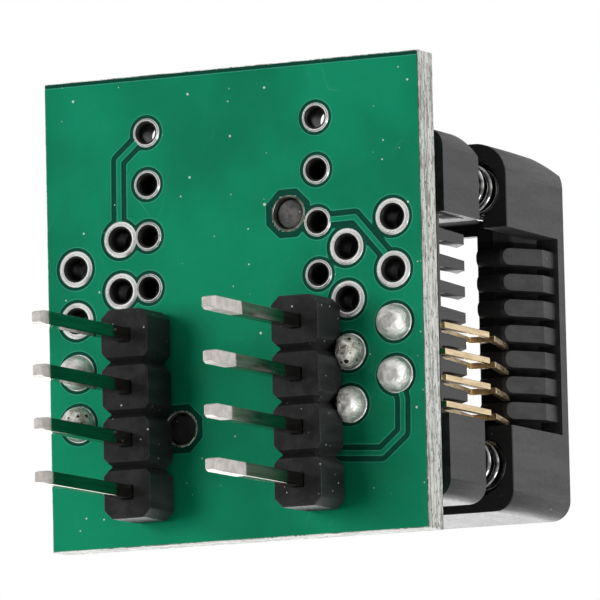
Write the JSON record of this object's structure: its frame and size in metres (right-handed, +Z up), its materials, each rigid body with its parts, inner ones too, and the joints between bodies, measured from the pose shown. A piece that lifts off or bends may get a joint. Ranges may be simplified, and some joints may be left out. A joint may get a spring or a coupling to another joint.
{
  "type": "ic programming adapter",
  "caption": "Open-top spring socket for a narrow surface-mount chip on a small circuit board, with two rows of long square pins below to plug into a programmer's wide socket.",
  "frame": {"origin": "centre of the eight-pin pattern, on the plane of the header housings' lower faces", "axes": "+Z up through the board and the socket, away from the pins; +X across the two pin rows, towards row a; +Y along the rows, towards the bevelled end of the socket"},
  "size_m": [0.0204, 0.023, 0.0285],
  "materials": {
    "board": "glass-fibre laminate under a glossy green solder mask, bare grey-green at its cut edges",
    "header_plastic": "moulded black thermoplastic, satin",
    "socket_plastic": "moulded black glass-filled thermoplastic, satin with a fine grain",
    "pin_metal": "bright tin-plated brass wire, drawn square",
    "contact_metal": "stamped copper alloy with a thin gold flash",
    "spring_steel": "drawn stainless spring wire",
    "solder": "bright reflowed solder"
  },
  "bodies": {
    "adapter": {"circuit_board": "board", "header_housing_a": "header_plastic", "header_housing_b": "header_plastic", "socket_base": "socket_plastic", "socket_solder_joints": "solder", "header_solder_joints": "solder", "header_pin_a1": "pin_metal", "contact_a1": "contact_metal", "header_pin_a2": "pin_metal", "contact_a2": "contact_metal", "header_pin_a3": "pin_metal", "contact_a3": "contact_metal", "header_pin_a4": "pin_metal", "contact_a4": "contact_metal", "header_pin_b1": "pin_metal", "contact_b1": "contact_metal", "header_pin_b2": "pin_metal", "contact_b2": "contact_metal", "header_pin_b3": "pin_metal", "contact_b3": "contact_metal", "header_pin_b4": "pin_metal", "contact_b4": "contact_metal", "return_spring_1": "spring_steel", "return_spring_2": "spring_steel", "return_spring_3": "spring_steel", "return_spring_4": "spring_steel"},
    "cover": {"socket_cover": "socket_plastic"},
    "arms_a": {"contact_arm_a1": "contact_metal", "contact_arm_a2": "contact_metal", "contact_arm_a3": "contact_metal", "contact_arm_a4": "contact_metal"},
    "arms_b": {"contact_arm_b1": "contact_metal", "contact_arm_b2": "contact_metal", "contact_arm_b3": "contact_metal", "contact_arm_b4": "contact_metal"}
  },
  "joints": [
    {"name": "cover_press", "type": "slide", "parent": "adapter", "child": "cover", "axis": [0, 0, -1], "range_m": [0, 0.0022], "stiffness_N_per_m": 3300, "springref_m": -0.0015, "deforming": ["return_spring_1", "return_spring_2", "return_spring_3", "return_spring_4"]},
    {"name": "arms_a_open", "type": "hinge", "parent": "adapter", "child": "arms_a", "pos_m": [0.0089, 0.0044, 0.00719], "axis": [0, 1, 0], "range_deg": [0, 11]},
    {"name": "arms_b_open", "type": "hinge", "parent": "adapter", "child": "arms_b", "pos_m": [-0.0089, 0.0044, 0.00719], "axis": [0, -1, 0], "range_deg": [0, 11]}
  ],
  "couplings": [
    {"joint": "arms_a_open", "follows": "cover_press", "rad_per_m": 58.824},
    {"joint": "arms_b_open", "follows": "cover_press", "rad_per_m": 58.824}
  ]
}
